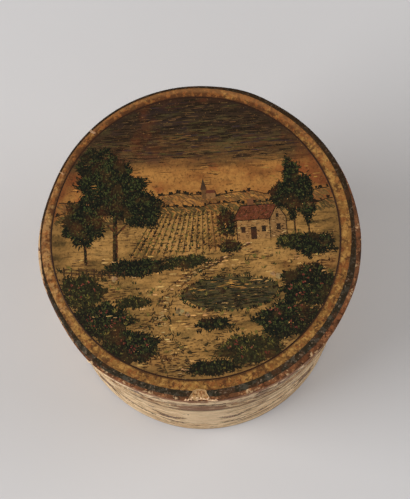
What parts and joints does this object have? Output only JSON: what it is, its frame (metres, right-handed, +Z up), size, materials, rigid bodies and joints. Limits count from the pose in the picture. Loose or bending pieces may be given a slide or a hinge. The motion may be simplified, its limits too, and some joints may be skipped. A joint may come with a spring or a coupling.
{
  "type": "powder box",
  "caption": "Round pasteboard powder box with a deep slip-on lid over an inner collar, covered in printed and coloured papers, with a varnished round picture on top.",
  "frame": {"origin": "centre of the base, on the table the box stands on", "axes": "+Z up along the axis of the box, -Y to the front of the picture, +X to its right"},
  "size_m": [0.116, 0.116, 0.116],
  "materials": {
    "board": "raw rolled pasteboard, matt",
    "plain_paper": "plain rag paper, matt and worn",
    "printed_paper": "cream rag paper with printed strokes, half matt",
    "lining_paper": "plain white lining paper, matt",
    "rose_paper": "purple-red coloured paper, half matt",
    "brown_paper": "orange-brown paper under old varnish",
    "ochre_paper": "ochre paper under old varnish",
    "dark_paper": "green-black painted paper, worn",
    "picture_paper": "hand-coloured landscape print under amber varnish"
  },
  "bodies": {
    "box": {"base_paper": "plain_paper", "base_board": "board", "body_wall": "board", "body_wrap": "printed_paper", "collar": "board", "floor_lining": "lining_paper", "wall_lining": "lining_paper", "neck_binding": "lining_paper"},
    "lid": {"lid_board": "board", "lid_wall": "board", "lid_cover": "brown_paper", "lid_wrap": "printed_paper", "rim_binding": "rose_paper", "lid_lining": "lining_paper", "lid_wall_lining": "lining_paper", "lid_print": "picture_paper", "lid_ring": "ochre_paper", "lid_band": "dark_paper"}
  },
  "joints": [
    {"name": "lid_lift", "type": "slide", "parent": "box", "child": "lid", "axis": [0, 0, 1], "range_m": [0, 0.07]}
  ]
}
